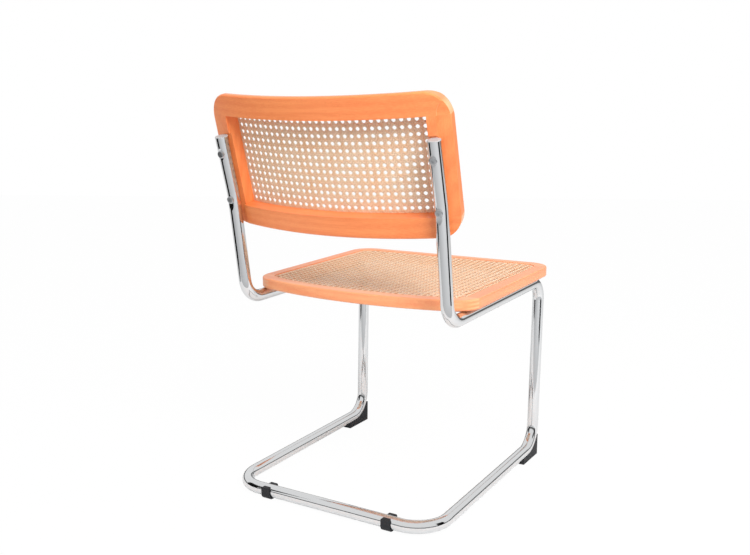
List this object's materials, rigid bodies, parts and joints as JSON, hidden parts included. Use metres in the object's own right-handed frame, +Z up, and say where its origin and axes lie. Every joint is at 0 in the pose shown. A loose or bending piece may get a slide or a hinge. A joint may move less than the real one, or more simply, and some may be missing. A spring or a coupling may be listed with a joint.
{
  "type": "cantilever dining chair",
  "caption": "Armless dining chair on a bent chromed tube cantilever, with a wooden seat frame and a bowed wooden back frame that hold cane webbing.",
  "frame": {"origin": "centre of the footprint on the floor, under the whole chair", "axes": "+Z up, the front of the seat faces -Y, +X is the sitter's left"},
  "size_m": [0.5086, 0.6012, 0.8045],
  "materials": {
    "chromed_tube": "polished",
    "steel_sleeve": "plain",
    "tube_cap": "satin",
    "stained_beech": "satin varnish over orange stain",
    "dowel_beech": "raw",
    "cane": "woven, satin",
    "reed": "satin",
    "screw_steel": "polished",
    "foot_plastic": "matt"
  },
  "bodies": {
    "root": {"frame_tube_left": "chromed_tube", "frame_tube_right": "chromed_tube", "frame_joint_sleeve": "steel_sleeve", "left_tube_cap": "tube_cap", "right_tube_cap": "tube_cap", "back_top_rail": "stained_beech", "back_bottom_rail": "stained_beech", "back_left_stile": "stained_beech", "back_right_stile": "stained_beech", "back_dowels": "dowel_beech", "back_cane_panel": "cane", "back_cane_spline": "reed", "back_screws": "screw_steel", "seat_front_rail": "stained_beech", "seat_rear_rail": "stained_beech", "seat_left_rail": "stained_beech", "seat_right_rail": "stained_beech", "seat_cane_panel": "cane", "seat_cane_spline": "reed", "seat_screws": "screw_steel", "front_left_foot": "foot_plastic", "front_right_foot": "foot_plastic", "rear_left_clip": "foot_plastic", "rear_right_clip": "foot_plastic"}
  },
  "joints": []
}
